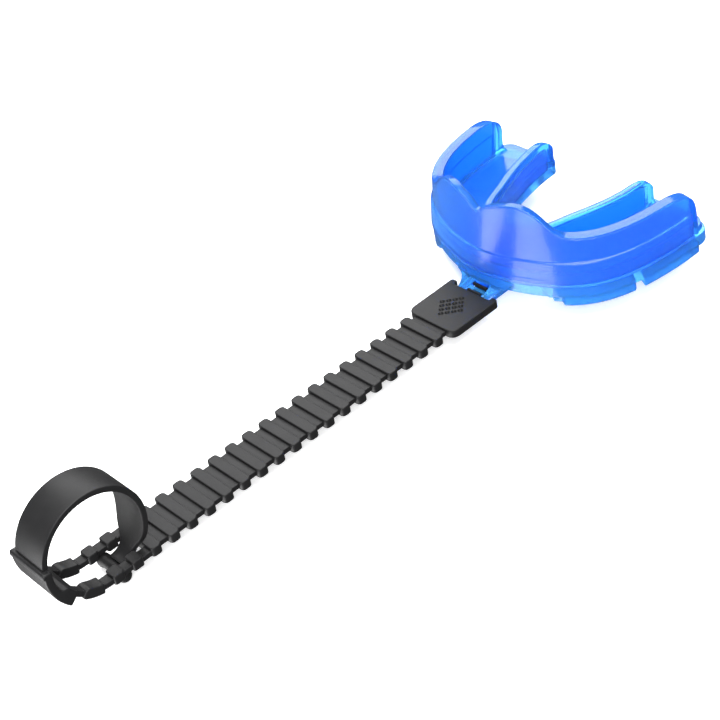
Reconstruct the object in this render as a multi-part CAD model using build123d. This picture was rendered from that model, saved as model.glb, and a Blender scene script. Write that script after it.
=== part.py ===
"""Sports mouthguard with a detachable helmet tether, in millimetres.

The mouthguard is a horseshoe of co-moulded layers. A ribbed elastomer tether swivels on the tab under its
front, and ends in a split tail whose band curls over, passes down through the slot between the two rails
and is held by a T-bar that nests under them.

Working frame: +Y runs from the tether towards the back teeth, +X is the wearer's left, +Z is up, Y = 0 is
the first rib and Z = 0 is the flat top of the ribs. The finished set is moved so that the origin is the
centre of the bottom of its bounding box.
"""
from build123d import *
import os
from math import cos, radians, sin

# Ribbed tether
PITCH = 4.8
RIB_COUNT = 18
RIB_WIDTH = 11.9
RIB_LENGTH = 2.7
RIB_THICKNESS = 2.34
RIB_CORNER = 1.05
WEB_WIDTH = 9.6
WEB_TOP = -0.62
WEB_BOTTOM = -1.87
WEB_MIDDLE = (WEB_TOP + WEB_BOTTOM) / 2
WEB_OVERLAP = 1.0
HINGE_GAP = 0.3
EDGE_ROUND = 0.35

# Head pad, recessed at its far end for the tab, and the hook that stands in the recess
PAD_WIDTH = 14.5
PAD_START = 2.9
PAD_END = 17.8
PAD_THICKNESS = 2.1
PAD_CORNER = 2.4
RECESS_START = 16.6
RECESS_WIDTH = 11.1
HEAD_HINGE_Y = (PAD_START + RIB_LENGTH / 2) / 2
SWIVEL_Y = 18.7
SWIVEL_Z = -1.3
HOOK_WIDTH = 4.0
HOOK_INNER = 0.95
HOOK_OUTER = 1.75
HOOK_START_ANGLE = 140.0
HOOK_END_ANGLE = 430.0
HOOK_NECK_TOP = -0.95
HOOK_NECK_BOTTOM = -2.0

# Split tail: rails, curled end, band and T-bar
RAIL_OFFSET = 4.37
RAIL_WIDTH = 3.17
RAIL_WEB_WIDTH = 2.4
RAIL_FLAT_BLOCKS = 2
RAIL_CORNER = 0.7
TAIL_HINGE_Y = -(RIB_COUNT - 1) * PITCH - RIB_LENGTH / 2 - HINGE_GAP / 2
LOOP_Y = -19.4 * PITCH
LOOP_Z = 1.9 * PITCH
LAST_BLOCK_ANGLES = (236.0, 260.0)
RAIL_END_ANGLE = 223.0
BAND_RADIUS = 12.4
BAND_THICKNESS = 1.35
BAND_WIDTH = 9.45
BAND_NECK_WIDTH = 4.6
BAND_ROOT_ANGLE = 168.0
DROP_RADIUS = 18.0
DROP_ANGLE = -34.0
FOOT_RADIUS = 5.2
TAPER_TOP_Z = 5.4
TAPER_MIDDLE = (7.6, 1.6)
TAPER_BOTTOM_Z = -0.4
CURL_RADIUS = 12.85
CURL_WIDTH = 11.9
CURL_ROOT_ANGLE = 205.0
LIP_ANGLE = 176.0
LIP_HEIGHT = 0.35
ROOT_GAP_ANGLE = 1.7
TBAR_RADIUS = 1.55
TBAR_ROUND = 0.6
TBAR_LENGTH = 9.6
TBAR_Y = -18.55 * PITCH
TBAR_Z = -3.72

# Mouthguard: heights above the top of the ribs
PAD_FOOT_Z = -1.1
BASE_BOTTOM_Z = 1.0
SHELL_BOTTOM_Z = 3.85
FLOOR_TOP_Z = 5.0
RIDGE_Z = 9.8
LINGUAL_TOP_Z = 11.9
WALL_TOP_Z = 25.0
CUT_FLOOR_Z = -10.0
CUT_SIDE = 45.0
CUT_LENGTH = 90.0
SHELL_THICKNESS = 1.3
WALL_THICKNESS = 2.7
BAND_PROUD = 0.35
LINGUAL_THICKNESS = 2.3
LINGUAL_SKIN = 0.9
LEAN = 0.10
LEAN_Z = 9.6
HEEL_Y = 63.6

# Wearer's left half of the outer arch, at LEAN_Z, and of the middle of the lingual wall, from the front back
ARCH_HALF = [(0, 20.2), (7.4, 21.2), (14.4, 23.6), (20.2, 26.7), (24.3, 30.3), (27.2, 34.8), (29.2, 40.0),
             (30.7, 47.2), (31.4, 53.8), (31.6, 59.6)]
LINGUAL_HALF = [(0, 29.3), (5.0, 30.4), (8.4, 33.4), (10.4, 38.4), (12.1, 43.2), (13.8, 48.5), (14.9, 53.8),
                (15.6, 60.0), (15.7, 62.5)]
# Height of the labial rim over the width: frenum notch, lobes over the front teeth, lower sides
RIM_HALF = [(0, 19.8), (2.2, 21.1), (5.6, 22.4), (9.4, 23.1), (13.4, 22.4), (16.6, 20.0), (19.4, 17.2),
            (23.5, 16.2), (32.0, 16.0)]
# Outline of the back ends, seen from the side
LABIAL_BACK = [(47.1, 16.0), (54.6, 15.4), (58.3, 13.4), (59.7, 9.6), (60.5, 2.5)]
LINGUAL_BACK = [(54.0, LINGUAL_TOP_Z + 0.1), (59.6, 11.7), (62.2, 10.0), (63.3, 6.4), (63.9, 2.5)]

# Bite pads: insets of their cheek and tongue sides, and outlines that cut their ends from the arch
BITE_PAD_OUTER = 0.6
BITE_PAD_INNER = 9.5
FRONT_PAD_WINDOW = [(21.8, 20.0), (40.0, 20.0), (40.0, 40.1), (12.0, 40.1), (11.0, 37.0)]
REAR_PAD_WINDOW = [(12.0, 41.8), (40.0, 41.8), (40.0, 62.0), (12.0, 62.0)]

# Tab under the front of the mouthguard: its bar lies between a notch in its front edge and a slot
TAB_WIDTH = 10.4
TAB_START = 17.0
TAB_END = 24.0
TAB_TOP_Z = -0.8
TAB_BOTTOM_Z = -1.8
TAB_CORNER = 0.9
TAB_SLOPE_END = 20.6
NOTCH_WIDTH = 4.6
NOTCH_END = 18.2
SLOT_WIDTH = 5.6
SLOT_START = 19.2
SLOT_END = 20.9

# Room that cutting shapes reach past the pieces that they cut
CLEAR = 10.0


def mirrored(half):
    """A half outline from the midline back, continued as its mirror image on the other side."""
    return [(-x, y) for x, y in reversed(half[1:])] + list(half)


ARCH = Spline(*[Vector(x, y) for x, y in mirrored(ARCH_HALF)])
LINGUAL = Spline(*[Vector(x, y) for x, y in mirrored(LINGUAL_HALF)])


def inset_curve(curve, inset, z, samples=24):
    """The curve moved inwards by inset, at height z."""
    points = []
    for i in range(samples + 1):
        at = i / samples
        point, along = curve @ at, curve % at
        points.append(Vector(point.X - along.Y * inset, point.Y + along.X * inset, z))
    return Spline(*points)


def closed_face(*edges):
    return Face(Wire(edges))


def strip_face(outer, inner):
    """The area between two open curves that run the same way, with straight ends."""
    return closed_face(outer, Line(outer @ 1, inner @ 1), inner, Line(inner @ 0, outer @ 0))


def heel_edges(start, end):
    """A straight back at HEEL_Y, with a round corner from each of two points in front of it."""
    start_radius, end_radius = HEEL_Y - start.Y, HEEL_Y - end.Y
    swing = Vector(1 - cos(radians(45)), sin(radians(45)))
    back_start = Vector(start.X - start_radius, HEEL_Y, start.Z)
    back_end = Vector(end.X + end_radius, HEEL_Y, end.Z)
    start_middle = start + Vector(-swing.X, swing.Y) * start_radius
    end_middle = end + swing * end_radius
    return [ThreePointArc(start, start_middle, back_start), Line(back_start, back_end),
            ThreePointArc(back_end, end_middle, end)]


def horseshoe_face(outer, inner):
    """The area between two open curves, with heels behind them."""
    return closed_face(outer, *heel_edges(outer @ 1, inner @ 1), inner, *heel_edges(inner @ 0, outer @ 0))


def labial_curve(inset, z):
    return inset_curve(ARCH, inset + LEAN * (z - LEAN_Z), z)


def labial_wall(near, far, low, high):
    """A leaning wall that follows the arch, between two insets."""
    sections = [strip_face(labial_curve(near, z), labial_curve(far, z)) for z in (low, high)]
    return loft(sections, ruled=True)


def lingual_wall(near, far, low, high):
    """An upright wall that follows the lingual line, between two offsets from its middle."""
    section = strip_face(inset_curve(LINGUAL, near, low), inset_curve(LINGUAL, far, low))
    return extrude(section, amount=high - low, dir=(0, 0, 1))


def under_rim():
    """Everything below the labial rim, seen from the front."""
    rim = Spline(*[Vector(x, 0, z) for x, z in mirrored(RIM_HALF)])
    left, right = rim @ 0, rim @ 1
    low_left, low_right = Vector(left.X, 0, CUT_FLOOR_Z), Vector(right.X, 0, CUT_FLOOR_Z)
    face = closed_face(rim, Line(right, low_right), Line(low_right, low_left), Line(low_left, left))
    return extrude(face, amount=CUT_LENGTH, dir=(0, 1, 0))


def under_back(outline, top):
    """Everything in front of and below a back end's outline, seen from the side."""
    x, low = -CUT_SIDE, CUT_FLOOR_Z
    back = Spline(*[Vector(x, y, z) for y, z in outline])
    start, end = back @ 0, back @ 1
    bottom = [end, Vector(x, end.Y, low), Vector(x, 0, low)]
    corners = bottom + [Vector(x, 0, top), Vector(x, start.Y, top), start]
    sides = [Line(a, b) for a, b in zip(corners, corners[1:])]
    return extrude(closed_face(back, *sides), amount=2 * CUT_SIDE, dir=(1, 0, 0))


def make_outer_shell():
    """Labial shell, with its lower half standing proud up to the ridge line."""
    wall = labial_wall(0, SHELL_THICKNESS, SHELL_BOTTOM_Z, WALL_TOP_Z)
    proud_band = labial_wall(-BAND_PROUD, SHELL_THICKNESS / 2, SHELL_BOTTOM_Z, RIDGE_Z)
    return (wall + proud_band) & under_rim() & under_back(LABIAL_BACK, WALL_TOP_Z)


def make_gel_liner():
    """Boil-and-bite liner: inner labial wall, channel floor and cheek side of the lingual wall."""
    inner = labial_wall(SHELL_THICKNESS, WALL_THICKNESS, SHELL_BOTTOM_Z, WALL_TOP_Z)
    inner = inner & under_rim() & under_back(LABIAL_BACK, WALL_TOP_Z)
    half = LINGUAL_THICKNESS / 2
    lingual = lingual_wall(-half, half - LINGUAL_SKIN, SHELL_BOTTOM_Z, LINGUAL_TOP_Z)
    lingual = lingual & under_back(LINGUAL_BACK, WALL_TOP_Z)
    z = SHELL_BOTTOM_Z
    outer_line = labial_curve((SHELL_THICKNESS + WALL_THICKNESS) / 2, z)
    floor = horseshoe_face(outer_line, inset_curve(LINGUAL, -half / 2, z))
    floor = extrude(floor, amount=FLOOR_TOP_Z - z, dir=(0, 0, 1))
    return inner + floor + lingual


def make_lingual_shell():
    """Skin on the tongue side of the lingual wall."""
    half = LINGUAL_THICKNESS / 2
    skin = lingual_wall(half - LINGUAL_SKIN, half, SHELL_BOTTOM_Z, LINGUAL_TOP_Z)
    return skin & under_back(LINGUAL_BACK, WALL_TOP_Z)


def make_bite_base():
    """Plate under the channel, with round heels."""
    z = BASE_BOTTOM_Z
    plate = horseshoe_face(labial_curve(0.1, z), inset_curve(LINGUAL, LINGUAL_THICKNESS / 2, z))
    return extrude(plate, amount=SHELL_BOTTOM_Z - z, dir=(0, 0, 1))


def make_bite_pad(side, window):
    """A raised bite pad under one stretch of the wearer's left (+1) or right (-1) side."""
    z = PAD_FOOT_Z
    height = BASE_BOTTOM_Z - z
    strip = strip_face(labial_curve(BITE_PAD_OUTER, z), labial_curve(BITE_PAD_INNER, z))
    corners = [Vector(side * x, y, z) for x, y in window]
    outline = closed_face(*[Line(a, b) for a, b in zip(corners, corners[1:] + corners[:1])])
    return extrude(strip, amount=height, dir=(0, 0, 1)) & extrude(outline, amount=height, dir=(0, 0, 1))


def make_tab():
    """Tab that slopes forward under the front edge, with the bar that the tether's hook goes round."""
    side = [(TAB_START, TAB_BOTTOM_Z), (TAB_END, TAB_BOTTOM_Z), (TAB_END, BASE_BOTTOM_Z),
            (TAB_SLOPE_END, BASE_BOTTOM_Z), (TAB_START, TAB_TOP_Z)]
    points = [Vector(-TAB_WIDTH / 2, y, z) for y, z in side]
    wedge = closed_face(*[Line(a, b) for a, b in zip(points, points[1:] + points[:1])])
    wedge = extrude(wedge, amount=TAB_WIDTH, dir=(1, 0, 0))
    plan = Box(TAB_WIDTH, TAB_END - TAB_START, CLEAR)
    plan = fillet(plan.edges().filter_by(Axis.Z).group_by(Axis.Y)[0], TAB_CORNER)
    slot = Pos(0, (SLOT_START + SLOT_END) / 2, 0) * Box(SLOT_WIDTH, SLOT_END - SLOT_START, CLEAR)
    above_bar = Pos(0, SLOT_END - CLEAR / 2, TAB_TOP_Z + CLEAR / 2) * Box(SLOT_WIDTH, CLEAR, CLEAR)
    notch = Pos(0, NOTCH_END - CLEAR / 2, 0) * Box(NOTCH_WIDTH, CLEAR, CLEAR)
    return (wedge & Pos(0, (TAB_START + TAB_END) / 2, 0) * plan) - slot - above_bar - notch


def rounded_block(width, length, corner, thickness):
    """A flat block with round corners, its top face at Z = 0, and soft top and bottom edges."""
    block = extrude(RectangleRounded(width, length, corner), amount=-thickness)
    edges = block.edges().group_by(Axis.Z)
    return fillet(edges[0] + edges[-1], EDGE_ROUND)


def web(width, start, end, x=0.0):
    """Thin strip between two Y positions."""
    height = WEB_TOP - WEB_BOTTOM
    return Pos(x, (start + end) / 2, WEB_MIDDLE) * Box(width, abs(end - start), height)


def make_rib(k):
    """One rib with its half of the web on either side; the webs behind the last one belong to the rails."""
    y = -k * PITCH
    front = HEAD_HINGE_Y if k == 0 else y + PITCH / 2
    back = y if k == RIB_COUNT - 1 else y - PITCH / 2 + HINGE_GAP / 2
    block = Pos(0, y, 0) * rounded_block(RIB_WIDTH, RIB_LENGTH, RIB_CORNER, RIB_THICKNESS)
    return block + web(WEB_WIDTH, front - HINGE_GAP / 2, back)


def make_head_pad():
    """Wide grip pad with a recess at its far end."""
    length = PAD_END - PAD_START
    pad = Pos(0, (PAD_START + PAD_END) / 2, 0) * rounded_block(PAD_WIDTH, length, PAD_CORNER, PAD_THICKNESS)
    recess = Pos(0, RECESS_START + CLEAR / 2, 0) * Box(RECESS_WIDTH, CLEAR, CLEAR)
    return pad - recess + web(WEB_WIDTH, HEAD_HINGE_Y + HINGE_GAP / 2, PAD_START + WEB_OVERLAP)


def polar(centre, radius, angle):
    """The point at an angle from +Y on a circle round an X axis through centre."""
    return centre + Vector(0, radius * cos(radians(angle)), radius * sin(radians(angle)))


def arc(centre, radius, start, end):
    return ThreePointArc(*[polar(centre, radius, a) for a in (start, (start + end) / 2, end)])


def ring_sector(centre, inner, outer, start, end, width):
    """Part of a ring round an X axis through centre, between two angles from +Y, of a given width."""
    outer_arc, inner_arc = arc(centre, outer, start, end), arc(centre, inner, end, start)
    face = closed_face(outer_arc, Line(outer_arc @ 1, inner_arc @ 0), inner_arc,
                       Line(inner_arc @ 1, outer_arc @ 0))
    return Pos(-width / 2, 0, 0) * extrude(face, amount=width, dir=(1, 0, 0))


def make_hook():
    """J-shaped hook that passes under the bar of the tab and comes up through its slot."""
    axis = Vector(0, SWIVEL_Y, SWIVEL_Z)
    hook = ring_sector(axis, HOOK_INNER, HOOK_OUTER, HOOK_START_ANGLE, HOOK_END_ANGLE, HOOK_WIDTH)
    neck_end = SWIVEL_Y - (HOOK_INNER + HOOK_OUTER) / 2
    neck = Box(HOOK_WIDTH, neck_end - RECESS_START, HOOK_NECK_TOP - HOOK_NECK_BOTTOM)
    neck_middle = Pos(0, (RECESS_START + neck_end) / 2, (HOOK_NECK_TOP + HOOK_NECK_BOTTOM) / 2)
    return hook + neck_middle * neck


def loop_sector(inner, outer, start, end, width):
    """Part of a ring round the loop's centre."""
    return ring_sector(Vector(0, LOOP_Y, LOOP_Z), inner, outer, start, end, width)


def make_rail(side):
    """One rail of the split tail: flat blocks, then a long block and web that curve up round the loop."""
    x = side * RAIL_OFFSET
    rail = web(RAIL_WEB_WIDTH, TAIL_HINGE_Y - HINGE_GAP / 2, LOOP_Y, x)
    for k in range(RIB_COUNT, RIB_COUNT + RAIL_FLAT_BLOCKS):
        block = rounded_block(RAIL_WIDTH, RIB_LENGTH, RAIL_CORNER, RIB_THICKNESS)
        rail = rail + Pos(x, -k * PITCH, 0) * block
    curved_web = loop_sector(LOOP_Z - WEB_TOP, LOOP_Z - WEB_BOTTOM, RAIL_END_ANGLE, 270, RAIL_WEB_WIDTH)
    last_block = loop_sector(LOOP_Z, LOOP_Z + RIB_THICKNESS, *LAST_BLOCK_ANGLES, RAIL_WIDTH)
    return rail + Pos(x, 0, 0) * (curved_web + last_block)


def make_curled_end():
    """Thick end that joins the rails and curls up to the root of the band."""
    inner = BAND_RADIUS - BAND_THICKNESS
    top = BAND_ROOT_ANGLE + ROOT_GAP_ANGLE
    curl = loop_sector(inner, CURL_RADIUS, top, RAIL_END_ANGLE, CURL_WIDTH)
    return curl + loop_sector(LOOP_Z - WEB_TOP, inner, CURL_ROOT_ANGLE, RAIL_END_ANGLE, CURL_WIDTH)


def make_keeper_lip():
    """Raised lip across the top of the curled end."""
    start = BAND_ROOT_ANGLE + ROOT_GAP_ANGLE
    return loop_sector(CURL_RADIUS, CURL_RADIUS + LIP_HEIGHT, start, LIP_ANGLE, CURL_WIDTH)


def band_line(depth):
    """The band's path at a depth under its outer face: over the loop, down, and in towards the T-bar."""
    centre = Vector(0, LOOP_Y, LOOP_Z)
    drop_centre = centre - Vector(0, DROP_RADIUS - BAND_RADIUS, 0)
    foot_centre = polar(drop_centre, DROP_RADIUS - FOOT_RADIUS, DROP_ANGLE)
    return [arc(centre, BAND_RADIUS - depth, BAND_ROOT_ANGLE, 0),
            arc(drop_centre, DROP_RADIUS - depth, 0, DROP_ANGLE),
            arc(foot_centre, FOOT_RADIUS - depth, DROP_ANGLE, -90)]


def make_band():
    """Curved band, full width over the loop and narrow where it enters the slot."""
    outer, inner = band_line(0), band_line(BAND_THICKNESS)
    ends = [Line(outer[-1] @ 1, inner[-1] @ 1), Line(inner[0] @ 0, outer[0] @ 0)]
    profile = Face(Wire(outer + ends + inner))
    reach = BAND_WIDTH / 2
    ring = Pos(-reach, 0, 0) * extrude(profile, amount=BAND_WIDTH, dir=(1, 0, 0))
    narrow = BAND_NECK_WIDTH / 2
    low, high = TBAR_Z - CLEAR, LOOP_Z + BAND_RADIUS + CLEAR
    middle_width, middle_z = TAPER_MIDDLE
    corners = [(narrow, low), (narrow, TAPER_BOTTOM_Z), (middle_width / 2, middle_z),
               (reach + 1, TAPER_TOP_Z), (reach + 1, high)]
    outline = corners + [(-x, z) for x, z in reversed(corners)]
    points = [Vector(x, LOOP_Y - BAND_RADIUS - CLEAR, z) for x, z in outline]
    face = closed_face(*[Line(a, b) for a, b in zip(points, points[1:] + points[:1])])
    return ring & extrude(face, amount=2 * (BAND_RADIUS + CLEAR), dir=(0, 1, 0))


def make_t_bar():
    """Round cross bar under the rails, at the end of the band."""
    bar = Pos(0, TBAR_Y, TBAR_Z) * Rot(0, 90, 0) * Cylinder(TBAR_RADIUS, TBAR_LENGTH)
    return fillet(bar.edges(), TBAR_ROUND) - make_band()


def make_parts():
    """Every sub-part by its node name, in the working frame."""
    parts = {
        "outer_shell": make_outer_shell(),
        "gel_liner": make_gel_liner(),
        "lingual_shell": make_lingual_shell(),
        "bite_base": make_bite_base(),
        "tether_tab": make_tab(),
        "head_pad": make_head_pad(),
        "head_hook": make_hook(),
        "curled_end": make_curled_end(),
        "keeper_lip": make_keeper_lip(),
        "band": make_band(),
        "t_bar": make_t_bar(),
    }
    for side, word in ((1, "left"), (-1, "right")):
        parts[f"bite_pad_front_{word}"] = make_bite_pad(side, FRONT_PAD_WINDOW)
        parts[f"bite_pad_rear_{word}"] = make_bite_pad(side, REAR_PAD_WINDOW)
        parts[f"rail_{word}"] = make_rail(side)
    for k in range(RIB_COUNT):
        parts[f"rib_{k:02d}"] = make_rib(k)
    return parts


def main():
    parts = make_parts()
    boxes = [part.bounding_box() for part in parts.values()]
    front, back = min(b.min.Y for b in boxes), max(b.max.Y for b in boxes)
    shift = Vector(0, -(front + back) / 2, -min(b.min.Z for b in boxes))
    print("shift", shift)
    os.makedirs("parts", exist_ok=True)
    for name, part in parts.items():
        solids = part.moved(Location(shift)).solids()
        export_step(solids[0] if len(solids) == 1 else Compound(solids), f"parts/{name}.step")


main()
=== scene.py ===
"""Looks of the tethered mouthguard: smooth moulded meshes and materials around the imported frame.

Lengths are millimetres in a working frame whose origin is on the top face of the first rib; to_frame()
turns them into metres in the row frame.
"""
import math

import bmesh
import bpy
import numpy as np
from mathutils import Matrix, Vector


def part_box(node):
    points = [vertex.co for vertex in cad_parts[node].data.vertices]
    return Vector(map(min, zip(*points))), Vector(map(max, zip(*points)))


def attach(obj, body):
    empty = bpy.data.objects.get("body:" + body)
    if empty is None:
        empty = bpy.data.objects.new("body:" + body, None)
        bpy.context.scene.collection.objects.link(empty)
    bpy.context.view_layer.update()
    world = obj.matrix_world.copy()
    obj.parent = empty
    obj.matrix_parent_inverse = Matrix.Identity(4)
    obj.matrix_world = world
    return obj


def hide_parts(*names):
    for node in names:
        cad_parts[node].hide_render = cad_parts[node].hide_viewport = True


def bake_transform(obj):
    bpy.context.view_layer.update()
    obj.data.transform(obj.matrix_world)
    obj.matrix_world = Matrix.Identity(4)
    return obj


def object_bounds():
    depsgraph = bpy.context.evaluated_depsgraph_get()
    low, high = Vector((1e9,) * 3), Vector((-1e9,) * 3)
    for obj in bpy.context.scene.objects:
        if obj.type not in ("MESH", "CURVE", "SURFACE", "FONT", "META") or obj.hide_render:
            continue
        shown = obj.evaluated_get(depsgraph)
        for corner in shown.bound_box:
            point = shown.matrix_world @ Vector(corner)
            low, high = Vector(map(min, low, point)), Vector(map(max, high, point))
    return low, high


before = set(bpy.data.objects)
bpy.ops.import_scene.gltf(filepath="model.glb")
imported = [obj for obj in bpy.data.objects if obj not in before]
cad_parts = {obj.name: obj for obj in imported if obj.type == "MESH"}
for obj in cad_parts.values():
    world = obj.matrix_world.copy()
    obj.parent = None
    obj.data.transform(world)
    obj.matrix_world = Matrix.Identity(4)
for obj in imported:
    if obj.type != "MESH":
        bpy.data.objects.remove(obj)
CAD_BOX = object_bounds()


# ---------------------------------------------------------------- places taken from the frame

def middle(node):
    low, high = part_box(node)
    return (low + high) / 2


RIBS = sorted(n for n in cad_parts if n.startswith("rib_"))
PITCH = (middle("rib_01") - middle("rib_02")).y * 1000
ORIGIN = Vector((0, middle("rib_01").y + PITCH / 1000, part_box("rib_01")[1].z))


def to_frame(x, y, z):
    """A working-frame point in millimetres as a row-frame point in metres."""
    return ORIGIN + Vector((x, y, z)) / 1000


def size_mm(node):
    low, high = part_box(node)
    return (high - low) * 1000


# Tether
RIB_WIDTH, _, RIB_THICKNESS = size_mm("rib_01")
RIB_LENGTH = 2.7
RIB_CORNER = 1.05
RIB_EDGE = 0.2
WEB_WIDTH = 9.6
WEB_TOP = -0.62
WEB_BOTTOM = -1.87
WEB_EDGE = 0.12
WEB_SINK = 0.4

# Head pad and hook
PAD_WIDTH, _, PAD_THICKNESS = size_mm("head_pad")
PAD_START = 2.9
PAD_END = 17.8
PAD_CORNER = 2.4
PAD_FAR_CORNER = 1.75
RECESS_START = 16.6
RECESS_WIDTH = 11.1
SWIVEL_Y = 18.7
SWIVEL_Z = -1.3
HOOK_WIDTH = size_mm("head_hook").x
HOOK_INNER = 0.95
HOOK_OUTER = 1.75
HOOK_ANGLES = (140, 430)
HOOK_NECK_TOP = -0.95
HOOK_NECK_BOTTOM = -2.0

# Split tail and loop
RAIL_OFFSET = 4.37
RAIL_WIDTH = size_mm("rail_left").x
RAIL_WEB_WIDTH = 2.4
RAIL_CORNER = 0.7
RAIL_END_ANGLE = 223
LAST_BLOCK_ANGLES = (236, 260)
LOOP_Y = -19.4 * PITCH
LOOP_Z = 1.9 * PITCH
BAND_RADIUS = 12.4
BAND_THICKNESS = 1.35
BAND_WIDTH = size_mm("band").x
BAND_ROOT_ANGLE = 168
DROP_RADIUS = 18.0
DROP_ANGLE = -34
FOOT_RADIUS = 5.2
CURL_RADIUS = 12.85
CURL_WIDTH = size_mm("curled_end").x
CURL_ROOT_ANGLE = 205
CURL_TOP_ANGLE = 169.7
LIP_ANGLE = 176.5
LIP_HEIGHT = 0.35
TBAR_LENGTH, _, TBAR_DIAMETER = size_mm("t_bar")
TBAR_Y = -18.55 * PITCH
TBAR_Z = -3.72

# Mouthguard
ARCH_HALF = [(0, 20.2), (7.4, 21.2), (14.4, 23.6), (20.2, 26.7), (24.3, 30.3), (27.2, 34.8), (29.2, 40.0),
             (30.7, 47.2), (31.4, 53.8), (31.6, 59.6)]
LINGUAL_HALF = [(0, 29.3), (5.0, 30.4), (8.4, 33.4), (10.4, 38.4), (12.1, 43.2), (13.8, 48.5), (14.9, 53.8),
                (15.6, 60.0), (15.7, 62.5)]
RIM_HALF = [(0, 19.8), (2.2, 21.1), (5.6, 22.4), (9.4, 23.1), (13.4, 22.4), (16.6, 20.0), (19.4, 17.2),
            (23.5, 16.2), (32.0, 16.0)]
LABIAL_BACK = [(47.1, 16.0), (54.6, 15.4), (58.3, 13.4), (59.7, 9.6), (60.5, 2.5)]
LINGUAL_BACK = [(54.0, 11.9), (59.6, 11.7), (62.2, 10.0), (63.3, 6.4), (63.9, 2.5)]
LEDGE_Z = 5.7
BITE_PAD_FOOT_Z = -1.1
STEP_FOOT_Z = -0.1
RIDGE_DEPTH = 0.06
BASE_BOTTOM_Z = 1.0
SHELL_BOTTOM_Z = 3.85
FLOOR_TOP_Z = 5.0
RIDGE_Z = 9.8
LEAN = 0.10
LEAN_Z = 9.6
SHELL_THICKNESS = 1.3
LINGUAL_HALF_THICKNESS = 1.15
HEEL_Y = 63.6
HEEL_EDGE = 0.3
CLEAR = 50.0
STATIONS = 240
SHARP_ANGLE = 50
FLAT_MARGIN = 0.12

# ---------------------------------------------------------------- curves and meshes


def mirrored(half):
    """A half outline from the midline, continued as its mirror image on the other side."""
    return [(-x, y) for x, y in reversed(half[1:])] + list(half)


def smooth_line(points, places):
    """Points on the natural cubic through points, at places from 0 to 1 of its length."""
    p = np.array(points, float)
    knots = np.concatenate(([0], np.cumsum(np.linalg.norm(np.diff(p, axis=0), axis=1))))
    h = np.diff(knots)
    n = len(p)
    system = np.eye(n)
    right = np.zeros_like(p)
    for i in range(1, n - 1):
        system[i, i - 1:i + 2] = h[i - 1], 2 * (h[i - 1] + h[i]), h[i]
        right[i] = 6 * ((p[i + 1] - p[i]) / h[i] - (p[i] - p[i - 1]) / h[i - 1])
    bend = np.linalg.solve(system, right)
    s = np.asarray(places, float) * knots[-1]
    k = np.clip(np.searchsorted(knots, s, side="right") - 1, 0, n - 2)
    a, b, w = (knots[k + 1] - s)[:, None], (s - knots[k])[:, None], h[k][:, None]
    return ((bend[k] * a**3 + bend[k + 1] * b**3) / (6 * w)
            + (p[k] / w - bend[k] * w / 6) * a + (p[k + 1] / w - bend[k + 1] * w / 6) * b)


def profile_height(outline):
    """A function from the first coordinate of an outline to its second, smoothed."""
    line = smooth_line(outline, np.linspace(0, 1, 400))
    return lambda at: float(np.interp(at, line[:, 0], line[:, 1]))


def ease(value, low, high):
    """Smooth rise from 0 at low to 1 at high."""
    t = min(1.0, max(0.0, (value - low) / (high - low)))
    return t * t * (3 - 2 * t)


def mix(a, b, t):
    return a + (b - a) * t


def round_corners(corners, steps=5):
    """A closed outline of (u, v, radius) corners as points, each corner an arc of steps + 1 points."""
    out = []
    count = len(corners)
    for i, (u, v, radius) in enumerate(corners):
        here = np.array((u, v))
        before = np.array(corners[i - 1][:2]) - here
        after = np.array(corners[(i + 1) % count][:2]) - here
        room = 0.48 * min(np.linalg.norm(before), np.linalg.norm(after))
        reach = min(radius, room)
        start = here + before / max(1e-9, np.linalg.norm(before)) * reach
        end = here + after / max(1e-9, np.linalg.norm(after)) * reach
        for j in range(steps + 1):
            t = j / steps
            out.append((1 - t)**2 * start + 2 * t * (1 - t) * here + t**2 * end)
    return out


def end_rounding(left, edge):
    """How far a section draws in, left millimetres before a round end."""
    if left >= edge:
        return 0.0
    return edge * (1 - math.sqrt(max(0.0, 1 - (1 - left / edge)**2)))


def make_object(name, points, faces):
    """A smooth-shaded mesh object from working-frame points."""
    mesh = bpy.data.meshes.new(name)
    mesh.from_pydata([to_frame(*p) for p in points], [], faces)
    build = bmesh.new()
    build.from_mesh(mesh)
    bmesh.ops.remove_doubles(build, verts=build.verts, dist=2e-6)
    bmesh.ops.recalc_face_normals(build, faces=build.faces)
    build.to_mesh(mesh)
    build.free()
    mesh.shade_smooth()
    mesh.set_sharp_from_angle(angle=math.radians(SHARP_ANGLE))
    obj = bpy.data.objects.new(name, mesh)
    bpy.context.scene.collection.objects.link(obj)
    return obj


def skin(sections):
    """Points and faces of a capped surface through equal closed sections."""
    count = len(sections[0])
    points = [tuple(p) for section in sections for p in section]
    faces = []
    last = (len(sections) - 1) * count
    for a in range(0, last, count):
        for j in range(count):
            k = (j + 1) % count
            faces.append((a + j, a + k, a + count + k, a + count + j))
    faces.append(tuple(range(count)))
    faces.append(tuple(last + j for j in reversed(range(count))))
    return points, faces


def join_parts(*parts):
    """Several (points, faces) shapes as one."""
    points, faces = [], []
    for more_points, more_faces in parts:
        base = len(points)
        points += more_points
        faces += [tuple(base + i for i in face) for face in more_faces]
    return points, faces


def cut(obj, cutter):
    """Subtracts a mesh object from a piece, for good."""
    modifier = obj.modifiers.new("cut", "BOOLEAN")
    modifier.operation = "DIFFERENCE"
    modifier.solver = "EXACT"
    modifier.object = cutter
    graph = bpy.context.evaluated_depsgraph_get()
    mesh = bpy.data.meshes.new_from_object(obj.evaluated_get(graph))
    obj.modifiers.clear()
    obj.data = mesh
    bpy.data.objects.remove(cutter)
    mesh.shade_smooth()
    mesh.set_sharp_from_angle(angle=math.radians(SHARP_ANGLE))
    return obj


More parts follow.
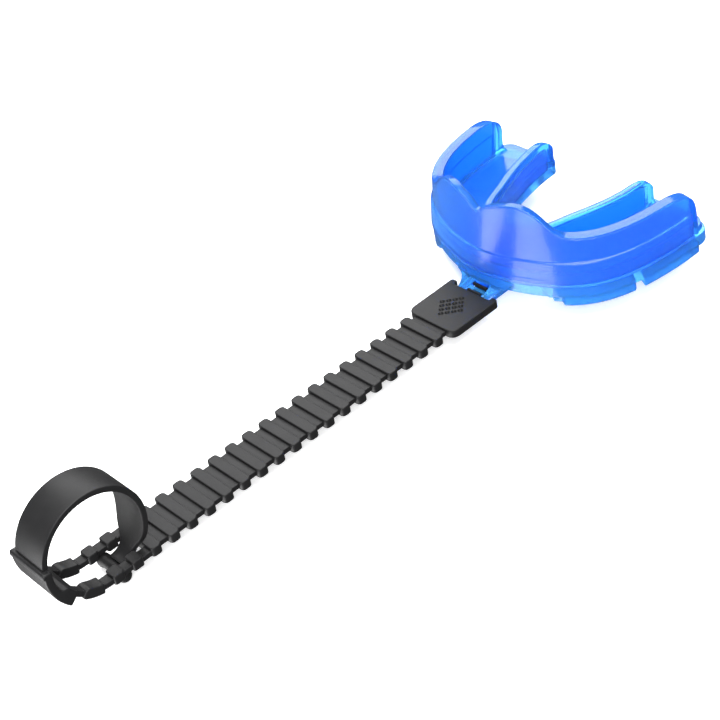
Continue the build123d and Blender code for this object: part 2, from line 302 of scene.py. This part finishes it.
def dress(obj, material, body, slot, *nodes):
    """Gives a piece its material and body, and hides the CAD nodes that it stands for; the record slot is not
    used.
    """
    obj.data.materials.append(material)
    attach(obj, body)
    if nodes:
        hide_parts(*nodes)
    return obj


# ---------------------------------------------------------------- materials

def new_material(name):
    material = bpy.data.materials.new(name)
    material.use_nodes = True
    nodes = material.node_tree.nodes
    return material, nodes, material.node_tree.links, nodes["Principled BSDF"]


def noise(nodes, links, scale, detail=3.0, roughness=0.5):
    coordinates = nodes.new("ShaderNodeTexCoord")
    texture = nodes.new("ShaderNodeTexNoise")
    texture.inputs["Scale"].default_value = scale
    texture.inputs["Detail"].default_value = detail
    texture.inputs["Roughness"].default_value = roughness
    links.new(coordinates.outputs["Object"], texture.inputs["Vector"])
    return texture


def ramp_between(nodes, links, source, low, high):
    ramp = nodes.new("ShaderNodeMapRange")
    ramp.inputs["To Min"].default_value = low
    ramp.inputs["To Max"].default_value = high
    links.new(source, ramp.inputs["Value"])
    return ramp.outputs["Result"]


GEL_IOR = 1.36


def gel_material(name, deep, light, transmission, roughness, specular):
    """Translucent glossy elastomer whose colour drifts a little between deep and light."""
    material, nodes, links, shader = new_material(name)
    cloud = noise(nodes, links, 60.0)
    blend_colour = nodes.new("ShaderNodeMix")
    blend_colour.data_type = "RGBA"
    blend_colour.inputs[6].default_value = (*deep, 1)
    blend_colour.inputs[7].default_value = (*light, 1)
    links.new(ramp_between(nodes, links, cloud.outputs["Fac"], 0.0, 1.0), blend_colour.inputs[0])
    links.new(blend_colour.outputs[2], shader.inputs["Base Color"])
    links.new(ramp_between(nodes, links, cloud.outputs["Fac"], roughness, roughness + 0.06),
              shader.inputs["Roughness"])
    shader.inputs["Transmission Weight"].default_value = transmission
    shader.inputs["IOR"].default_value = GEL_IOR
    shader.inputs["Specular IOR Level"].default_value = specular
    shader.inputs["Coat Weight"].default_value = 0.12
    shader.inputs["Coat Roughness"].default_value = 0.08
    bump = nodes.new("ShaderNodeBump")
    bump.inputs["Strength"].default_value = 0.06
    bump.inputs["Distance"].default_value = 0.0002
    links.new(noise(nodes, links, 900.0).outputs["Fac"], bump.inputs["Height"])
    links.new(bump.outputs["Normal"], shader.inputs["Normal"])
    return material


def rubber_material(name, colour, roughness):
    """Matt moulded rubber with a fine spark-eroded grain."""
    material, nodes, links, shader = new_material(name)
    cloud = noise(nodes, links, 250.0, detail=4.0)
    blend_colour = nodes.new("ShaderNodeMix")
    blend_colour.data_type = "RGBA"
    blend_colour.inputs[6].default_value = (*[c * 0.8 for c in colour], 1)
    blend_colour.inputs[7].default_value = (*[c * 1.25 for c in colour], 1)
    links.new(cloud.outputs["Fac"], blend_colour.inputs[0])
    links.new(blend_colour.outputs[2], shader.inputs["Base Color"])
    links.new(ramp_between(nodes, links, cloud.outputs["Fac"], roughness - 0.05, roughness + 0.08),
              shader.inputs["Roughness"])
    shader.inputs["Specular IOR Level"].default_value = 0.22
    bump = nodes.new("ShaderNodeBump")
    bump.inputs["Strength"].default_value = 0.25
    bump.inputs["Distance"].default_value = 0.00006
    links.new(noise(nodes, links, 4500.0, detail=2.0).outputs["Fac"], bump.inputs["Height"])
    links.new(bump.outputs["Normal"], shader.inputs["Normal"])
    return material


SHELL = gel_material("shell_gel", (0.08, 0.36, 1.0), (0.11, 0.42, 1.0), 0.88, 0.22, 0.85)
LINER = gel_material("liner_gel", (0.04, 0.34, 1.0), (0.07, 0.40, 1.0), 0.84, 0.14, 0.08)
BASE = gel_material("base_gel", (0.08, 0.44, 1.0), (0.11, 0.50, 1.0), 0.8, 0.12, 0.3)
RUBBER = rubber_material("tether_rubber", (0.010, 0.010, 0.0105), 0.45)

# ---------------------------------------------------------------- mouthguard


def station_places():
    """Places along the arch, closer together towards both back ends."""
    half = [1 - (1 - i / (STATIONS // 2))**1.5 for i in range(STATIONS // 2 + 1)]
    return [0.5 - a / 2 for a in reversed(half[1:])] + [0.5 + a / 2 for a in half]


PLACES = station_places()
ARCH = smooth_line(mirrored(ARCH_HALF), PLACES)
LINGUAL = smooth_line(mirrored(LINGUAL_HALF), PLACES)
ALONG = np.concatenate(([0], np.cumsum(np.linalg.norm(np.diff(ARCH, axis=0), axis=1))))
ALONG = ALONG - ALONG[-1] / 2
ARCH_END = ALONG[-1]
rim_height = profile_height(mirrored(RIM_HALF))
back_height = profile_height(LABIAL_BACK)
lingual_height = profile_height(LINGUAL_BACK)


def lean(z):
    """How far the labial wall leans out at a height."""
    return LEAN * (z - LEAN_Z)


def across(i):
    """Start point, unit direction towards the tongue, and distance to the lingual wall, at a station."""
    gap = LINGUAL[i] - ARCH[i]
    reach = float(np.linalg.norm(gap))
    return ARCH[i], gap / reach, reach


def labial_rim(i):
    """Height of the labial wall's top at a station."""
    x, y = ARCH[i]
    height = rim_height(x)
    return min(height, back_height(y)) if y > LABIAL_BACK[0][0] else height


def lingual_rim(i):
    """Height of the lingual wall's top at a station."""
    y = LINGUAL[i][1]
    return lingual_height(y) if y > LINGUAL_BACK[0][0] else LINGUAL_BACK[0][1]


def place_section(i, outline):
    """An outline of (distance from the arch, height) pairs, stood up at a station."""
    start, way, _ = across(i)
    return [(*(start + way * d), z) for d, z in outline]


def end_inset(i, length, radius):
    """How far a section draws in so that a wall that stops at +-length ends in a round edge."""
    return end_rounding(length - abs(ALONG[i]), radius)


def stations_within(low, high):
    return [i for i, s in enumerate(ALONG) if low <= s <= high]


SHELL_END = ARCH_END - 1.9
RIM_LIP = 0.35
SHELL_BAND_PROUD = 0.40
LEDGE_DEPTH = 0.14
SEAM = 0.02


def rim_thickness(i):
    """Width of the liner's rim, which is thinner over the front teeth."""
    return mix(1.9, 3.0, ease(abs(ARCH[i][0]), 14, 25))


def make_outer_shell():
    """Labial shell: a lower band up to the ridge line, with a faint ledge across its front.

    In each outline, e draws the section in towards the round back end.
    """
    sections = []
    for i in stations_within(-SHELL_END, SHELL_END):
        e = end_inset(i, SHELL_END, 0.9)
        top = labial_rim(i) - RIM_LIP - e
        low = SHELL_BOTTOM_Z + 0.05
        ledge = LEDGE_DEPTH * (1 - ease(abs(ALONG[i]), 11, 21))
        proud = e * 0.6 - SHELL_BAND_PROUD
        inside = SHELL_THICKNESS - SEAM - e * 0.4
        ridge = min(RIDGE_Z + 0.2, top - 0.9)
        corners = [
            (proud + lean(low), low, 0.22), (proud + lean(LEDGE_Z), LEDGE_Z, 0.05),
            (proud + ledge + lean(LEDGE_Z), LEDGE_Z + 0.12, 0.05),
            (proud + ledge + lean(ridge), ridge - 0.05, 0.18),
            (e * 0.6 + 0.08 + lean(ridge + 0.3), ridge + 0.25, 0.2),
            (e * 0.6 + lean(top), top, 0.2), (inside + lean(top), top, 0.1),
            (inside + lean(low), low, 0.1)]
        sections.append(place_section(i, round_corners(corners)))
    return make_object("outer_shell_skin", *skin(sections))


def heel_sections(side, outline, low=-CLEAR, high=CLEAR, steps=16):
    """Sections behind a back end that draw in round two corners to a straight back at HEEL_Y.

    Heights are kept between low and high, less a round edge at the back.
    """
    start, way, _ = across(len(ARCH) - 1 if side > 0 else 0)
    near, far = min(d for d, _ in outline), max(d for d, _ in outline)
    cheek, tongue = start + way * near, start + way * far
    cheek_radius, tongue_radius = HEEL_Y - cheek[1], HEEL_Y - tongue[1]
    sections = []
    for turn in np.linspace(0, math.pi / 2, steps):
        drawn_in, back = side * (1 - math.cos(turn)), math.sin(turn)
        a = cheek + cheek_radius * np.array((-drawn_in, back))
        b = tongue + tongue_radius * np.array((drawn_in, back))
        left = min(HEEL_EDGE, cheek_radius * (1 - back))
        e = HEEL_EDGE - math.sqrt(HEEL_EDGE**2 - (HEEL_EDGE - left)**2)
        sections.append([(*mix(a, b, (d - near) / (far - near)), min(max(z, low + e), high - e))
                         for d, z in outline])
    return sections if side > 0 else sections[::-1]


def with_heels(outlines, **limits):
    """Sections along the arch from an outline for each station, with a heel at both ends."""
    body = [place_section(i, outline) for i, outline in enumerate(outlines)]
    return heel_sections(-1, outlines[0], **limits) + body + heel_sections(1, outlines[-1], **limits)


def liner_outline(i):
    """U section of the liner: flat labial rim and inner wall, channel floor and lingual wall."""
    _, _, reach = across(i)
    wrap = ease(abs(ALONG[i]), SHELL_END - 0.2, SHELL_END + 1.2)
    e = end_inset(i, ARCH_END, 0.8)
    rim, tongue_rim = labial_rim(i) - e * 0.5, lingual_rim(i)
    low = SHELL_BOTTOM_Z + 0.04
    outside = mix(SHELL_THICKNESS + 0.05, 0.1 + e * 0.5, wrap)
    inner = rim_thickness(i) - e * 0.5
    half = LINGUAL_HALF_THICKNESS
    recess = mix(0.35, half, ease(abs(ALONG[i]), ARCH_END - 4.0, ARCH_END - 1.5))
    return [
        (outside + lean(low), low, 0.2), (outside + lean(rim - 1.0), rim - RIM_LIP - 0.05, 0.08),
        (0.08 + e * 0.5 + lean(rim), rim - RIM_LIP + 0.02, 0.05),
        (0.1 + e * 0.5 + lean(rim), rim, 0.22), (inner + lean(rim), rim, 0.4),
        (2.85 + lean(FLOOR_TOP_Z), FLOOR_TOP_Z, 2.4), (reach - half, FLOOR_TOP_Z, 1.8),
        (reach - half + 0.05, tongue_rim, 0.6), (reach + half, tongue_rim, 0.6),
        (reach + half, tongue_rim - 1.5, 0.2), (reach + recess, tongue_rim - 1.7, 0.2),
        (reach + recess, low, 0.2)]


def make_gel_liner():
    """Liner whose channel floor goes on into the heels."""
    outlines = [round_corners(liner_outline(i), 6) for i in range(len(ARCH))]
    return make_object("gel_liner_skin", *skin(with_heels(outlines, high=FLOOR_TOP_Z)))


def make_lingual_shell():
    """Skin on the tongue side of the lingual wall."""
    sections = []
    end = ARCH_END - 3.2
    for i in stations_within(-end, end):
        _, _, reach = across(i)
        e = end_inset(i, end, 0.8)
        low, top = SHELL_BOTTOM_Z + 0.04, lingual_rim(i) - 1.75 - e
        near, far = reach + 0.40, reach + LINGUAL_HALF_THICKNESS + SEAM - e * 0.5
        corners = [(near, low, 0.1), (near, top, 0.1), (far, top, 0.4), (far, low, 0.3)]
        sections.append(place_section(i, round_corners(corners)))
    return make_object("lingual_shell_skin", *skin(sections))


def section_at(s, outline):
    """An outline stood up at any distance along the arch, between two stations."""
    i = int(np.clip(np.searchsorted(ALONG, s), 1, len(ALONG) - 1))
    t = (s - ALONG[i - 1]) / (ALONG[i] - ALONG[i - 1])
    before, after = place_section(i - 1, outline), place_section(i, outline)
    return [tuple(mix(np.array(p), np.array(q), t)) for p, q in zip(before, after)]


WINDOW_LOW = (7.2, 17.6)
WINDOW_HIGH = (9.4, 15.6)
WINDOW_DEPTH = 0.5


def window_cutters():
    """Trapezoids cut a little way into the front edge of the base, one each side of the tab."""
    shapes = []
    low, high = BASE_BOTTOM_Z - 1, SHELL_BOTTOM_Z - 0.25
    for side in (-1, 1):
        sections = []
        for s in sorted((*np.linspace(*WINDOW_LOW, 40), *WINDOW_HIGH)):
            rise = min(1.0, (s - WINDOW_LOW[0]) / (WINDOW_HIGH[0] - WINDOW_LOW[0]),
                       (WINDOW_LOW[1] - s) / (WINDOW_LOW[1] - WINDOW_HIGH[1]))
            top = mix(BASE_BOTTOM_Z, high, rise) + 0.01
            outline = [(-2, low), (WINDOW_DEPTH + lean(low), low), (WINDOW_DEPTH + lean(top), top), (-2, top)]
            sections.append(section_at(side * s, outline))
        shapes.append(skin(sections))
    return join_parts(*shapes)


def make_bite_base():
    """Plate under the channel, with window recesses in its front edge and heels behind."""
    outlines = []
    for i in range(len(ARCH)):
        _, _, reach = across(i)
        bulge = -0.35 * ease(abs(ALONG[i]), ARCH_END - 4.5, ARCH_END - 0.5)
        low, top = BASE_BOTTOM_Z, SHELL_BOTTOM_Z
        outlines.append(round_corners([
            (0.05 + bulge + lean(low), low, 0.3), (bulge + lean(top), top, 0.25),
            (reach + 1.1, top, 0.5), (reach + 1.1, low, 0.9)], 6))
    base = make_object("bite_base_skin", *skin(with_heels(outlines, low=BASE_BOTTOM_Z)))
    return cut(base, make_object("window_cutter", *window_cutters()))


BITE_PAD_CHEEK = 0.3
BITE_PAD_TONGUE = 9.3
RIDGE_SPACING = 2.4


def make_bite_pad(name, side, start, end, step_length):
    """Bite pad between two Y positions: faint slanted ridges on its cheek side, and a shallow first step."""
    inside = [i for i, (x, y) in enumerate(ARCH) if x * side > 0 and start <= y <= end]
    first, last = ALONG[inside[0]], ALONG[inside[-1]]
    high = BASE_BOTTOM_Z + 0.25
    sections = []
    for s in np.arange(first, last, 0.2):
        e = end_rounding(min(s - first, last - s), 0.5)
        front_end = first if side > 0 else last
        step = 0.0
        if step_length:
            step = 1 - ease(abs(s - front_end), step_length - 0.3, step_length + 0.3)
        low = mix(BITE_PAD_FOOT_Z, STEP_FOOT_Z, step) + e
        outer = []
        for z in np.linspace(high, low + 0.5, 7):
            wave = math.sin(2 * math.pi * (abs(s) * 0.8 - z * 0.9) / RIDGE_SPACING)
            outer.append((BITE_PAD_CHEEK + e + lean(z) + RIDGE_DEPTH * wave, z, 0.05))
        corners = outer + [(BITE_PAD_CHEEK + 0.05 + e + lean(low), low, 0.3), (BITE_PAD_TONGUE - e, low, 0.6),
                           (BITE_PAD_TONGUE - e, high, 0.1)]
        sections.append(section_at(s, round_corners(corners, 2)))
    return make_object(name, *skin(sections))


def inset_corners(corners, inset):
    """A counterclockwise outline of (x, y, radius) corners, drawn in by inset."""
    out = []
    for i, (x, y, radius) in enumerate(corners):
        here = np.array((x, y))
        ahead = np.array(corners[(i + 1) % len(corners)][:2]) - here
        behind = here - np.array(corners[i - 1][:2])
        ahead, behind = ahead / np.linalg.norm(ahead), behind / np.linalg.norm(behind)
        inwards = np.array((-ahead[1] - behind[1], ahead[0] + behind[0]))
        moved = here + inwards * inset / (1 + float(ahead @ behind))
        turn = behind[0] * ahead[1] - behind[1] * ahead[0]
        out.append((moved[0], moved[1], max(radius - inset, 0.04) if turn > 0 else radius + inset))
    return out


def edge_profile(edge, steps=3):
    """(inset, depth) steps of a quarter-round edge, from the flat face outwards."""
    angles = np.linspace(0, math.pi / 2, steps + 1)
    arc = [(edge * (1 - math.sin(a)), edge * (1 - math.cos(a))) for a in angles]
    return [(edge + FLAT_MARGIN, 0.0)] + arc


def slab(corners, top, bottom, edge):
    """A flat plate from an outline of (x, y, radius) corners, with round edges above and below."""
    levels = [(inset, bottom + depth) for inset, depth in edge_profile(edge)]
    levels += [(inset, top - depth) for inset, depth in reversed(edge_profile(edge))]
    return skin([[(x, y, z) for x, y in round_corners(inset_corners(corners, inset), 6)]
                 for inset, z in levels])


def box_corners(width, length, corner, x=0.0, y=0.0):
    """The four (x, y, radius) corners of a rectangle about a middle point."""
    half_x, half_y = width / 2, length / 2
    return [(x + half_x, y + half_y, corner), (x - half_x, y + half_y, corner),
            (x - half_x, y - half_y, corner), (x + half_x, y - half_y, corner)]


def block(width, length, corner, top, bottom, edge, x=0.0, y=0.0):
    return slab(box_corners(width, length, corner, x, y), top, bottom, edge)


def polar(centre, radius, angle):
    """The (y, z) point at an angle in degrees from +Y on a circle round centre."""
    a = math.radians(angle)
    return np.array((centre[0] + radius * math.cos(a), centre[1] + radius * math.sin(a)))


def arc_pairs(centre, inner, outer, start, end):
    """Pairs of (inner, outer) points along a ring; inner and outer are radii or functions of the angle."""
    pairs = []
    for angle in np.linspace(start, end, max(3, int(abs(end - start) / 1.5))):
        radii = [r(angle) if callable(r) else r for r in (inner, outer)]
        pairs.append([polar(centre, r, angle) for r in radii])
    return pairs


def sweep(pairs, half_width, edge, x=0.0):
    """A strip across X along (inner, outer) pairs in the YZ plane, with round edges and ends."""
    inner, outer = (np.array([pair[i] for pair in pairs]) for i in (0, 1))
    line = (inner + outer) / 2
    along = np.concatenate(([0], np.cumsum(np.linalg.norm(np.diff(line, axis=0), axis=1))))
    length = along[-1]
    near_end = [edge * (1 - math.cos(a)) for a in np.linspace(0, math.pi / 2, 4)]
    between = np.linspace(edge, length - edge, max(3, int(length / 0.4)))[1:-1]
    sections = []
    for s in [*near_end, *between, *[length - d for d in reversed(near_end)]]:
        low, high = (np.array([np.interp(s, along, side[:, i]) for i in (0, 1)]) for side in (inner, outer))
        thickness = float(np.linalg.norm(high - low))
        way = (high - low) / thickness
        e = end_rounding(min(s, length - s), edge)
        half = half_width((low[1] + high[1]) / 2) if callable(half_width) else half_width
        corners = [(half - e, thickness - e, edge), (e - half, thickness - e, edge),
                   (e - half, e, edge), (half - e, e, edge)]
        sections.append([(x + u, *(low + way * v)) for u, v in round_corners(corners, 3)])
    return skin(sections)


TAB_WIDTH = 10.4
TAB_START = 17.0
TAB_END = 24.0
TAB_TOP_Z = -0.8
TAB_BOTTOM_Z = -1.8
NOTCH_WIDTH = 4.6
NOTCH_END = 18.2
SLOT_WIDTH = 5.6
SLOT_START = 19.2
SLOT_END = 20.9
# Height, half width and front of the wall between the base and the foot of the tab
TAB_WALL = [(1.4, 7.9, 20.2), (1.0, 7.3, 20.2), (0.5, 6.3, 19.7), (0.0, 5.6, 18.8), (-0.5, 5.25, 17.9),
            (-0.8, 5.2, 17.3), (-1.0, 5.2, 17.05), (-1.6, 5.15, 17.0), (-1.8, 5.0, 17.2)]


def make_tab():
    """Tab that slopes forward under the front edge, notched and slotted for the tether's hook."""
    sections = []
    for z, half, front in TAB_WALL:
        corners = [(half, TAB_END, 0.5), (-half, TAB_END, 0.5), (-half, front, 0.8), (half, front, 0.8)]
        sections.append([(x, y, z) for x, y in round_corners(corners)])
    tab = make_object("tether_tab_skin", *skin(sections))
    for name, width, start, end, low in (("slot", SLOT_WIDTH, SLOT_START, SLOT_END, -3.0),
                                         ("bar", SLOT_WIDTH, SLOT_START - 4, SLOT_END, TAB_TOP_Z),
                                         ("notch", NOTCH_WIDTH, NOTCH_END - 3, NOTCH_END, -3.0)):
        hole = block(width, end - start, 0.3, 2.2, low, 0.1, y=(start + end) / 2)
        cut(tab, make_object(f"{name}_cutter", *hole))
    return tab


dress(make_outer_shell(), SHELL, "mouthguard", "shell_blue", "outer_shell")
dress(make_gel_liner(), LINER, "mouthguard", "liner_blue", "gel_liner")
dress(make_lingual_shell(), SHELL, "mouthguard", "shell_blue", "lingual_shell")
dress(make_bite_base(), BASE, "mouthguard", "base_blue", "bite_base")
dress(make_tab(), BASE, "mouthguard", "base_blue", "tether_tab")
for SIDE, WORD in ((1, "left"), (-1, "right")):
    for SPAN, LOW, HIGH, STEP in (("front", 25.0, 40.1, 2.4), ("rear", 41.8, 59.4, 0.0)):
        PAD = make_bite_pad(f"bite_pad_{SPAN}_{WORD}_skin", SIDE, LOW, HIGH, STEP)
        dress(PAD, BASE, "mouthguard", "base_blue", f"bite_pad_{SPAN}_{WORD}")

# ---------------------------------------------------------------- tether


def rubber_piece(shape, body, node):
    """A rubber piece from (points, faces) that takes the place of one CAD node."""
    return dress(make_object(f"{node}_skin", *shape), RUBBER, body, "tether_black", node)


def make_ribs():
    for k, node in enumerate(RIBS):
        rib = block(RIB_WIDTH, RIB_LENGTH, RIB_CORNER, 0, -RIB_THICKNESS, RIB_EDGE, y=-k * PITCH)
        rubber_piece(rib, f"link_{k:02d}", node)


def flat_pairs(start, end, count=13):
    """Pairs for a web between two Y positions; its outer side is the lower one."""
    return [(np.array((y, WEB_TOP)), np.array((y, WEB_BOTTOM))) for y in np.linspace(start, end, count)]


def blend_web(name, shape):
    """A rubber web between the two links it joins."""
    web = make_object(name, *shape)
    web.data.materials.append(RUBBER)
    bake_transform(web)


def make_webs():
    """A web from the pad to the first rib, from rib to rib, and in two strips from the last to the rails."""
    reach = RIB_LENGTH / 2
    last = len(RIBS)
    for k in range(last + 1):
        start = PAD_START if k == 0 else -(k - 1) * PITCH - reach
        end = -k * PITCH + reach
        strips = [(0.0, WEB_WIDTH)]
        if k == last:
            strips = [(-RAIL_OFFSET, RAIL_WEB_WIDTH), (RAIL_OFFSET, RAIL_WEB_WIDTH)]
        pairs = flat_pairs(start + WEB_SINK, end - WEB_SINK)
        shape = join_parts(*[sweep(pairs, width / 2, WEB_EDGE, x) for x, width in strips])
        blend_web(f"web_{k:02d}", shape)


DIMPLE_SPACING = 1.9
DIMPLE_ROW_SPACING = 1.15
DIMPLE_PROFILE = ((0.4, -0.45), (0.66, 0.02), (0.66, 0.5))


def dimple_cutters():
    """Small cone frustums in a diamond of rows, for the grip dimples of the head pad."""
    shapes = []
    middle_y = (PAD_START + RECESS_START) / 2 + 0.2
    turns = np.linspace(0, 2 * math.pi, 19)[:-1]
    for row in range(-3, 4):
        count = 4 - abs(row)
        for column in range(count):
            x = (column - (count - 1) / 2) * DIMPLE_SPACING
            y = middle_y + row * DIMPLE_ROW_SPACING
            rings = [[(x + r * math.cos(a), y + r * math.sin(a), z) for a in turns]
                     for r, z in DIMPLE_PROFILE]
            shapes.append(skin(rings))
    return join_parts(*shapes)


def make_head_pad():
    """Grip pad with a recess at its far end and a diamond of grip dimples."""
    half, ear = PAD_WIDTH / 2, RECESS_WIDTH / 2
    corners = [(half, PAD_END, PAD_FAR_CORNER), (ear, PAD_END, 0.3), (ear, RECESS_START, 0.4),
               (-ear, RECESS_START, 0.4), (-ear, PAD_END, 0.3), (-half, PAD_END, PAD_FAR_CORNER),
               (-half, PAD_START, PAD_CORNER), (half, PAD_START, PAD_CORNER)]
    pad = rubber_piece(slab(corners, 0, -PAD_THICKNESS, 0.22), "tether_head", "head_pad")
    cut(pad, make_object("dimple_cutter", *dimple_cutters()))


def make_hook():
    """Flat hook that passes under the bar of the tab and comes up through its slot."""
    ring = sweep(arc_pairs((SWIVEL_Y, SWIVEL_Z), HOOK_INNER, HOOK_OUTER, *HOOK_ANGLES), HOOK_WIDTH / 2, 0.2)
    neck_end = SWIVEL_Y - (HOOK_INNER + HOOK_OUTER) / 2
    neck = block(HOOK_WIDTH, neck_end - RECESS_START + 0.6, 0.1, HOOK_NECK_TOP, HOOK_NECK_BOTTOM, 0.12,
                 y=(neck_end + RECESS_START) / 2 - 0.3)
    rubber_piece(join_parts(ring, neck), "tether_head", "head_hook")


LOOP = (LOOP_Y, LOOP_Z)


def make_rail(side, word):
    """One rail: two flat blocks and a long ramped one on a web that curls up round the loop."""
    x = side * RAIL_OFFSET
    web = flat_pairs(-len(RIBS) * PITCH, LOOP_Y)
    web += arc_pairs(LOOP, LOOP_Z - WEB_TOP, LOOP_Z - WEB_BOTTOM, 270, RAIL_END_ANGLE - 2)[1:]
    parts = [sweep(web, RAIL_WEB_WIDTH / 2, WEB_EDGE, x)]
    for k in (len(RIBS), len(RIBS) + 1):
        parts.append(block(RAIL_WIDTH, RIB_LENGTH, RAIL_CORNER, 0, -RIB_THICKNESS, RIB_EDGE, x, -k * PITCH))
    rear, front = LAST_BLOCK_ANGLES

    def block_top(angle):
        return LOOP_Z - WEB_TOP * (1 - ease(angle, rear - 5, rear + 3))

    def block_bottom(angle):
        return LOOP_Z + RIB_THICKNESS - 0.4 * (1 - ease(angle, rear - 5, rear))

    parts.append(sweep(arc_pairs(LOOP, block_top, block_bottom, rear - 3, front), RAIL_WIDTH / 2, 0.25, x))
    rubber_piece(join_parts(*parts), "tail_frame", f"rail_{word}")


def make_curled_end():
    """End that is thick where it joins the rails and curls up to the root of the band."""
    def inner(angle):
        thick = ease(angle, CURL_ROOT_ANGLE - 6, CURL_ROOT_ANGLE + 1)
        return mix(BAND_RADIUS - BAND_THICKNESS, LOOP_Z - WEB_TOP, thick)

    pairs = arc_pairs(LOOP, inner, CURL_RADIUS, RAIL_END_ANGLE, CURL_TOP_ANGLE)
    rubber_piece(sweep(pairs, CURL_WIDTH / 2, 0.35), "tail_frame", "curled_end")


def make_keeper_lip():
    """Rounded bead across the top of the curled end."""
    pairs = arc_pairs(LOOP, CURL_RADIUS - 0.9, CURL_RADIUS + LIP_HEIGHT, CURL_TOP_ANGLE - 0.1, LIP_ANGLE)
    rubber_piece(sweep(pairs, CURL_WIDTH / 2, 0.5), "tail_frame", "keeper_lip")


def make_band():
    """Strap over the loop that narrows as it drops to the slot, then turns in to the T-bar."""
    drop_centre = (LOOP_Y - (DROP_RADIUS - BAND_RADIUS), LOOP_Z)
    foot_centre = polar(drop_centre, DROP_RADIUS - FOOT_RADIUS, DROP_ANGLE)
    pairs = arc_pairs(LOOP, BAND_RADIUS - BAND_THICKNESS + 0.15, BAND_RADIUS - 0.1, 172.5, 169)
    stretches = ((LOOP, BAND_RADIUS, BAND_ROOT_ANGLE, 0), (drop_centre, DROP_RADIUS, 0, DROP_ANGLE),
                 (foot_centre, FOOT_RADIUS, DROP_ANGLE, -92))
    for centre, radius, start, end in stretches:
        pairs += arc_pairs(centre, radius - BAND_THICKNESS, radius, start, end)
    taper = profile_height([(-5, 2.2), (-0.4, 2.35), (1.6, 3.75), (5.4, 4.68), (10, BAND_WIDTH / 2),
                            (26, BAND_WIDTH / 2)])
    rubber_piece(sweep(pairs, taper, 0.22), "tail_band", "band")


def make_t_bar():
    """Round cross bar under the rails, with knob ends."""
    knob, waist, half = TBAR_DIAMETER / 2, TBAR_DIAMETER / 2 - 0.25, TBAR_LENGTH / 2
    profile = [(half - knob * 0.75 * (1 - math.cos(a)), knob * math.sin(a))
               for a in np.linspace(0.12, math.pi / 2, 7)]
    profile += [(half - 1.9, knob), (half - 2.5, waist)]
    profile += [(-x, r) for x, r in reversed(profile)]
    rings = [[(x, TBAR_Y + r * math.cos(a), TBAR_Z + r * math.sin(a))
              for a in np.linspace(0, 2 * math.pi, 33)[:-1]] for x, r in profile]
    rubber_piece(skin(rings), "tail_band", "t_bar")


make_ribs()
make_webs()
make_head_pad()
make_hook()
for SIDE, WORD in ((1, "left"), (-1, "right")):
    make_rail(SIDE, WORD)
make_curled_end()
make_keeper_lip()
make_band()
make_t_bar()

# ---------------------------------------------------------------- floor, light and camera


def add_floor():
    """Pale floor that the object's own faces don't mirror, so that black rubber stays black."""
    bpy.ops.mesh.primitive_plane_add(size=6, location=(0, 0, CAD_BOX[0].z - 0.0002))
    floor = bpy.context.object
    floor.name = "floor"
    material, _, _, shader = new_material("pale_floor")
    shader.inputs["Base Color"].default_value = (0.93, 0.93, 0.93, 1)
    shader.inputs["Roughness"].default_value = 0.9
    shader.inputs["Specular IOR Level"].default_value = 0.1
    shader.inputs["Emission Color"].default_value = (1, 1, 1, 1)
    shader.inputs["Emission Strength"].default_value = 0.35
    floor.data.materials.append(material)
    floor.visible_glossy = False
    floor.visible_diffuse = False
    floor.visible_shadow = False


def add_world(strength):
    world = bpy.data.worlds.new("studio")
    world.use_nodes = True
    world.node_tree.nodes["Background"].inputs["Color"].default_value = (1, 1, 1, 1)
    world.node_tree.nodes["Background"].inputs["Strength"].default_value = strength
    bpy.context.scene.world = world


def add_light(name, place, size, power):
    light = bpy.data.lights.new(name, "AREA")
    light.shape = "RECTANGLE"
    light.size, light.size_y = size
    light.energy = power
    obj = bpy.data.objects.new(name, light)
    obj.location = place
    obj.rotation_euler = (Vector((0, 0.01, 0)) - Vector(place)).to_track_quat("-Z", "Y").to_euler()
    bpy.context.scene.collection.objects.link(obj)


VIEW_AZIMUTH = 53.27
VIEW_ELEVATION = 38.10
VIEW_ROLL = -11.135
VIEW_DISTANCE = 77.73 * PITCH / 1000
VIEW_TARGET = to_frame(-0.66 * PITCH, -3.35 * PITCH, 0)
LENS = 84.2


def add_camera():
    """Camera that looks at the strap's middle from the wearer's left, rolled so that the strap slants."""
    a, e = math.radians(VIEW_AZIMUTH), math.radians(VIEW_ELEVATION)
    back = Vector((math.sin(a) * math.cos(e), -math.cos(a) * math.cos(e), math.sin(e)))
    right = Vector((math.cos(a), math.sin(a), 0))
    up = back.cross(right)
    r = math.radians(VIEW_ROLL)
    right, up = right * math.cos(r) + up * math.sin(r), up * math.cos(r) - right * math.sin(r)
    data = bpy.data.cameras.new("camera")
    data.lens = LENS
    data.sensor_width = 36
    data.clip_start, data.clip_end = 0.01, 20
    camera = bpy.data.objects.new("camera", data)
    turn = Matrix((right, up, back)).transposed().to_4x4()
    camera.matrix_world = Matrix.Translation(VIEW_TARGET + back * VIEW_DISTANCE) @ turn
    bpy.context.scene.collection.objects.link(camera)
    bpy.context.scene.camera = camera


add_floor()
add_world(0.18)
add_light("overhead", (0.1, 0.0, 1.2), (1.2, 1.2), 32.0)
add_light("back", (-0.62, 0.46, 0.62), (0.9, 0.5), 7.8)
add_light("front", (-0.07, -0.40, -0.2), (0.45, 0.5), 4.6)
add_light("fill", (0.62, -0.42, 0.45), (0.5, 0.5), 9.0)
add_camera()
bpy.context.scene.view_settings.view_transform = "Standard"
